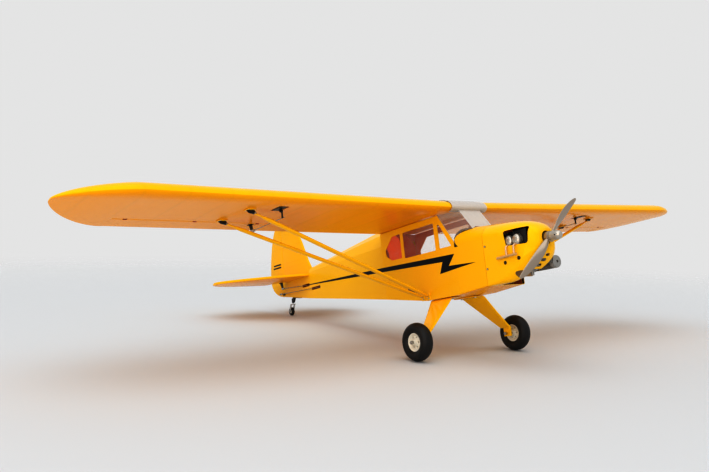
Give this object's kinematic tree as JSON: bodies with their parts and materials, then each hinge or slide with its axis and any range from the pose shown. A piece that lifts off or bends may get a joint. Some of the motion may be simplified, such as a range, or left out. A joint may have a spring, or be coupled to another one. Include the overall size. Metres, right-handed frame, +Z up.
{
  "type": "radio-controlled high-wing airplane",
  "caption": "Radio-controlled high-wing monoplane with V struts, cowled engine, film-covered wing and tail, balloon tyres and steerable tail wheel, parked on its wheels",
  "frame": {"origin": "on the ground under the centre of the bounding box, aeroplane parked on its three wheels", "axes": "+X towards the nose, +Y to port along the span, +Z up; the nose is pitched up by the tail-wheel stance"},
  "size_m": [1.3234, 2.0296, 0.4141],
  "materials": {
    "film": "gloss",
    "cowl_paint": "gloss",
    "clear": "clear",
    "wood": "matte",
    "black_nylon": "satin",
    "white_nylon": "satin",
    "steel": "satin",
    "alloy": "cast",
    "strut_paint": "gloss",
    "prop_finish": "satin metallic",
    "rubber": "matte",
    "servo_case": "matte",
    "tank_plastic": "translucent",
    "panel_black": "satin"
  },
  "bodies": {
    "airframe": {"axles": "steel", "carburettor": "alloy", "cowl": "cowl_paint", "crankcase": "alloy", "cylinder": "alloy", "dummy_engine": "alloy", "engine_mount": "black_nylon", "fin": "film", "front_strut_left": "strut_paint", "front_strut_right": "strut_paint", "fuel_tank": "tank_plastic", "fuselage": "film", "fuselage_frame": "wood", "gear_leg_left": "strut_paint", "gear_leg_right": "strut_paint", "hinges": "white_nylon", "instrument_panel": "panel_black", "muffler": "alloy", "radio_gear": "servo_case", "rear_strut_left": "strut_paint", "rear_strut_right": "strut_paint", "screws": "steel", "servos": "servo_case", "side_windows": "clear", "stabiliser": "film", "strut_fittings": "black_nylon", "tail_bracket": "black_nylon", "windscreen": "clear", "wing_frame": "wood", "wing_left": "film", "wing_right": "film"},
    "prop": {"crankshaft": "steel", "propeller": "prop_finish", "spinner_nut": "alloy"},
    "wheel_left": {"hub_left": "white_nylon", "tyre_left": "rubber"},
    "wheel_right": {"hub_right": "white_nylon", "tyre_right": "rubber"},
    "tail_steer": {"tail_fork": "steel"},
    "tail_roller": {"tail_wheel": "rubber"},
    "rudder_turn": {"rudder": "film", "rudder_horn": "black_nylon"},
    "elevator_turn": {"elevator": "film", "elevator_horn": "black_nylon"},
    "aileron_left_turn": {"aileron_left": "film", "aileron_horn_left": "black_nylon"},
    "aileron_right_turn": {"aileron_right": "film", "aileron_horn_right": "black_nylon"},
    "aileron_servo_left": {"aileron_servo_arm_left": "black_nylon"},
    "aileron_servo_right": {"aileron_servo_arm_right": "black_nylon"},
    "elevator_servo": {"elevator_servo_arm": "black_nylon"},
    "rudder_servo": {"rudder_servo_arm": "black_nylon"},
    "throttle_servo": {"throttle_servo_arm": "black_nylon"},
    "aileron_rod_left": {"aileron_pushrod_left": "steel"},
    "aileron_rod_right": {"aileron_pushrod_right": "steel"},
    "elevator_rod": {"elevator_pushrod": "steel"},
    "rudder_rod": {"rudder_pushrod": "steel"},
    "throttle_rod": {"throttle_pushrod": "steel"},
    "carburettor_barrel": {"throttle_arm": "steel"},
    "switch_slider": {"radio_switch": "black_nylon"}
  },
  "joints": [
    {"name": "prop_spin", "type": "hinge", "parent": "airframe", "child": "prop", "pos_m": [0.62623, 0, 0.31723], "axis": [0.9764, 0, 0.2161], "continuous": true},
    {"name": "wheel_left_spin", "type": "hinge", "parent": "airframe", "child": "wheel_left", "pos_m": [0.37047, 0.174, 0.0475], "axis": [0, 1, 0], "continuous": true},
    {"name": "wheel_right_spin", "type": "hinge", "parent": "airframe", "child": "wheel_right", "pos_m": [0.37047, -0.174, 0.0475], "axis": [0, 1, 0], "continuous": true},
    {"name": "rudder_hinge", "type": "hinge", "parent": "airframe", "child": "rudder_turn", "pos_m": [-0.57266, 0, 0.16714], "axis": [-0.2161, 0, 0.9764], "range_deg": [-25, 25]},
    {"name": "tail_steer_turn", "type": "hinge", "parent": "airframe", "child": "tail_steer", "pos_m": [-0.50659, 0, 0.05374], "axis": [-0.2161, 0, 0.9764], "range_deg": [-25, 25]},
    {"name": "tail_roller_spin", "type": "hinge", "parent": "tail_steer", "child": "tail_roller", "pos_m": [-0.51266, 0, 0.0145], "axis": [0, 1, 0], "continuous": true},
    {"name": "rudder_rod_slide", "type": "slide", "parent": "airframe", "child": "rudder_rod", "axis": [0.9764, 0, 0.2161], "range_m": [-0.0096, 0.0096]},
    {"name": "rudder_servo_turn", "type": "hinge", "parent": "airframe", "child": "rudder_servo", "pos_m": [0.27234, -0.026, 0.22253], "axis": [-0.2161, 0, 0.9764], "range_deg": [-46, 46]},
    {"name": "elevator_hinge", "type": "hinge", "parent": "airframe", "child": "elevator_turn", "pos_m": [-0.54808, 0, 0.11625], "axis": [0, 1, 0], "range_deg": [-25, 25]},
    {"name": "elevator_rod_slide", "type": "slide", "parent": "airframe", "child": "elevator_rod", "axis": [0.9764, 0, 0.2161], "range_m": [-0.011, 0.011]},
    {"name": "elevator_servo_turn", "type": "hinge", "parent": "airframe", "child": "elevator_servo", "pos_m": [0.20399, -0.01, 0.20741], "axis": [-0.2161, 0, 0.9764], "range_deg": [-53, 53]},
    {"name": "aileron_left_hinge", "type": "hinge", "parent": "airframe", "child": "aileron_left_turn", "pos_m": [0.13296, 0.66474, 0.34043], "axis": [-0.0041, 0.9998, 0.017], "range_deg": [-20, 20]},
    {"name": "aileron_right_hinge", "type": "hinge", "parent": "airframe", "child": "aileron_right_turn", "pos_m": [0.13296, -0.66474, 0.34043], "axis": [0.0041, 0.9998, -0.017], "range_deg": [-20, 20]},
    {"name": "aileron_rod_left_slide", "type": "slide", "parent": "airframe", "child": "aileron_rod_left", "axis": [0.9725, 0, 0.2331], "range_m": [-0.0094, 0.0094]},
    {"name": "aileron_rod_right_slide", "type": "slide", "parent": "airframe", "child": "aileron_rod_right", "axis": [0.9725, 0, 0.2331], "range_m": [-0.0094, 0.0094]},
    {"name": "aileron_servo_left_turn", "type": "hinge", "parent": "airframe", "child": "aileron_servo_left", "pos_m": [0.2857, 0.51399, 0.36081], "axis": [-0.0041, 0.9998, 0.017], "range_deg": [-39, 39]},
    {"name": "aileron_servo_right_turn", "type": "hinge", "parent": "airframe", "child": "aileron_servo_right", "pos_m": [0.2857, -0.51399, 0.36081], "axis": [0.0041, 0.9998, -0.017], "range_deg": [-39, 39]},
    {"name": "throttle_turn", "type": "hinge", "parent": "airframe", "child": "carburettor_barrel", "pos_m": [0.60028, 0.02, 0.2864], "axis": [0, 1, 0], "range_deg": [-40, 40]},
    {"name": "throttle_rod_slide", "type": "slide", "parent": "airframe", "child": "throttle_rod", "axis": [0.9764, 0, 0.2161], "range_m": [-0.00838, 0.00838]},
    {"name": "throttle_servo_turn", "type": "hinge", "parent": "airframe", "child": "throttle_servo", "pos_m": [0.31139, 0.0185, 0.23117], "axis": [-0.2161, 0, 0.9764], "range_deg": [-41, 41]},
    {"name": "switch_slide", "type": "slide", "parent": "airframe", "child": "switch_slider", "axis": [0.9764, 0, 0.2161], "range_m": [0, 0.005]}
  ],
  "couplings": [
    {"joint": "tail_steer_turn", "follows": "rudder_hinge", "ratio": 1},
    {"joint": "rudder_rod_slide", "follows": "rudder_hinge", "m_per_rad": 0.022},
    {"joint": "rudder_servo_turn", "follows": "rudder_hinge", "ratio": 1.8333},
    {"joint": "elevator_rod_slide", "follows": "elevator_hinge", "m_per_rad": -0.025},
    {"joint": "elevator_servo_turn", "follows": "elevator_hinge", "ratio": -2.0833},
    {"joint": "aileron_right_hinge", "follows": "aileron_left_hinge", "ratio": -1},
    {"joint": "aileron_rod_left_slide", "follows": "aileron_left_hinge", "m_per_rad": -0.026846},
    {"joint": "aileron_rod_right_slide", "follows": "aileron_left_hinge", "m_per_rad": 0.026846},
    {"joint": "aileron_servo_left_turn", "follows": "aileron_left_hinge", "ratio": 1.9176},
    {"joint": "aileron_servo_right_turn", "follows": "aileron_left_hinge", "ratio": -1.9176},
    {"joint": "throttle_turn", "follows": "throttle_rod_slide", "rad_per_m": 83.333},
    {"joint": "throttle_servo_turn", "follows": "throttle_rod_slide", "rad_per_m": -83.333}
  ]
}
